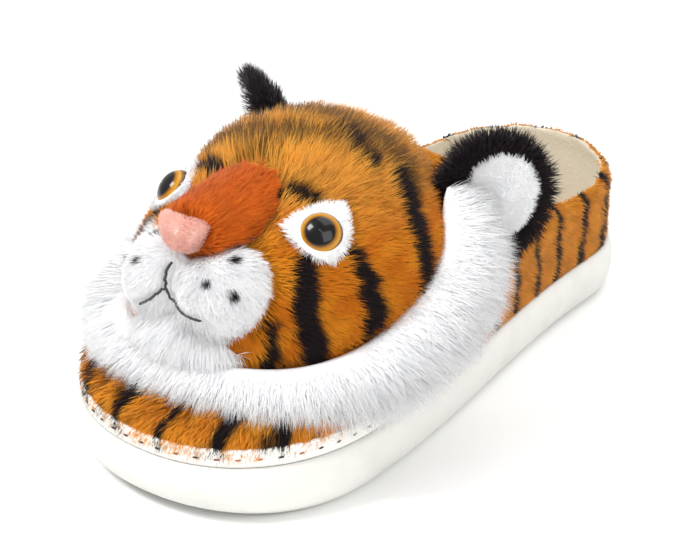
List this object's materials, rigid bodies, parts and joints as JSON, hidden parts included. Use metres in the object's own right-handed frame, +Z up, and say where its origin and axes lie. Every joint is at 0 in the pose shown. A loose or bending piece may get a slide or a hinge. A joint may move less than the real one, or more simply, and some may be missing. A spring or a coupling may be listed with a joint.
{
  "type": "animal slipper",
  "caption": "Plush slipper with a stuffed tiger's head on the instep, closed low heel and ruff of long fur, on a white moulded foam cup sole.",
  "frame": {"origin": "centre of the slipper's bounding box in plan, on the floor plane that the sole stands on", "axes": "+X to the wearer's left (the inner side of this right slipper), +Y along the sole from toe to heel, +Z up"},
  "size_m": [0.1716, 0.2812, 0.106],
  "materials": {
    "foam": "smooth matte white moulded foam",
    "cloth": "white woven cloth with short nap",
    "orange_plush": "orange faux fur with black stripes",
    "rust_plush": "short rust-orange pile",
    "white_plush": "soft white faux fur",
    "black_plush": "soft black faux fur",
    "pink_plush": "short pink pile",
    "eye": "clear domed plastic over amber and black"
  },
  "bodies": {
    "root": {"outsole": "foam", "insole": "cloth", "toe_strip": "cloth", "upper": "orange_plush", "head": "orange_plush", "muzzle": "white_plush", "bridge": "rust_plush", "nose": "pink_plush", "eye_patch_left": "white_plush", "eye_patch_right": "white_plush", "eye_left": "eye", "eye_right": "eye", "ear_left": "black_plush", "ear_right": "black_plush", "ear_lining_left": "white_plush", "ear_lining_right": "white_plush", "ruff": "white_plush"}
  },
  "joints": []
}
